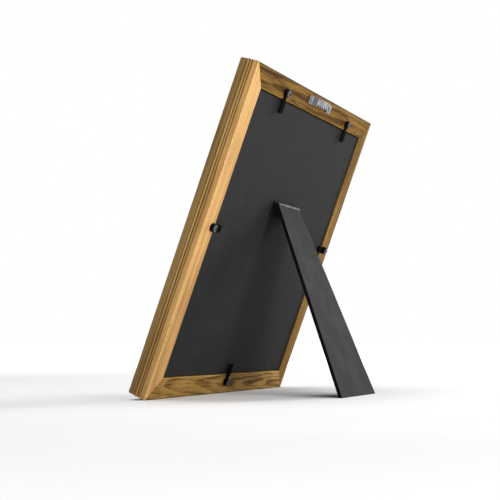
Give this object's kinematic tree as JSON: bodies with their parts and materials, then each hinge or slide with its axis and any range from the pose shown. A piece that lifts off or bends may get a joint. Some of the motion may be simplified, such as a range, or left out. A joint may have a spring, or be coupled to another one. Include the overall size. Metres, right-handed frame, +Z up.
{
  "type": "easel-back photo frame",
  "caption": "Square wooden photo frame with a mitred, beaded moulding, glazed front, turn-button back, sawtooth hanger and folding easel leg.",
  "frame": {"origin": "on the floor under the middle of the standing frame's bounding box", "axes": "+X to the right seen from the glazed front, the front faces -Y, the leg stands towards +Y, +Z up"},
  "size_m": [0.235, 0.1228, 0.224],
  "materials": {
    "oak_stile_left": "satin lacquer",
    "oak_stile_right": "satin lacquer",
    "oak_rail_top": "satin lacquer",
    "oak_rail_bottom": "satin lacquer",
    "dowel_wood": "bare beech",
    "clear_glass": "clear",
    "mat_card": "matt card",
    "print_paper": "semi-matt photo paper",
    "filler_card": "grey card",
    "black_board": "black paper-faced fibreboard",
    "leg_board": "black-coated fibreboard",
    "black_metal": "satin black",
    "hanger_steel": "zinc-plated",
    "hinge_steel": "nickel-plated"
  },
  "bodies": {
    "frame": {"stile_left": "oak_stile_left", "stile_right": "oak_stile_right", "rail_top": "oak_rail_top", "rail_bottom": "oak_rail_bottom", "corner_dowels": "dowel_wood", "glass_pane": "clear_glass", "window_mat": "mat_card", "picture_print": "print_paper", "filler_card": "filler_card", "backing_board": "black_board", "button_screws": "black_metal", "sawtooth_hanger": "hanger_steel", "hanger_nails": "hanger_steel", "hinge_leaf_board": "black_metal", "board_rivets": "black_metal", "hinge_pin": "hinge_steel"},
    "leg": {"easel_leg": "leg_board", "hinge_leaf_leg": "hinge_steel", "leg_tacks": "hinge_steel"},
    "button_top_left": {"turn_button_top_left": "black_metal"},
    "button_top_right": {"turn_button_top_right": "black_metal"},
    "button_side_left": {"turn_button_side_left": "black_metal"},
    "button_side_right": {"turn_button_side_right": "black_metal"},
    "button_bottom": {"turn_button_bottom": "black_metal"}
  },
  "joints": [
    {"name": "leg_fold", "type": "hinge", "parent": "frame", "child": "leg", "pos_m": [0, 0.00461, 0.14009], "axis": [-1, 0, 0], "range_deg": [0, 40]},
    {"name": "turn_top_left", "type": "hinge", "parent": "frame", "child": "button_top_left", "pos_m": [-0.0635, 0.03139, 0.20962], "axis": [0, 0.9361, -0.3518], "range_deg": [-90, 90]},
    {"name": "turn_top_right", "type": "hinge", "parent": "frame", "child": "button_top_right", "pos_m": [0.0635, 0.03139, 0.20962], "axis": [0, 0.9361, -0.3518], "range_deg": [-90, 90]},
    {"name": "turn_side_left", "type": "hinge", "parent": "frame", "child": "button_side_left", "pos_m": [-0.1059, -0.0045, 0.11414], "axis": [0, 0.9361, -0.3518], "range_deg": [-90, 90]},
    {"name": "turn_side_right", "type": "hinge", "parent": "frame", "child": "button_side_right", "pos_m": [0.1059, -0.0045, 0.11414], "axis": [0, 0.9361, -0.3518], "range_deg": [-90, 90]},
    {"name": "turn_bottom", "type": "hinge", "parent": "frame", "child": "button_bottom", "pos_m": [0, -0.04426, 0.00836], "axis": [0, 0.9361, -0.3518], "range_deg": [-90, 90]}
  ]
}
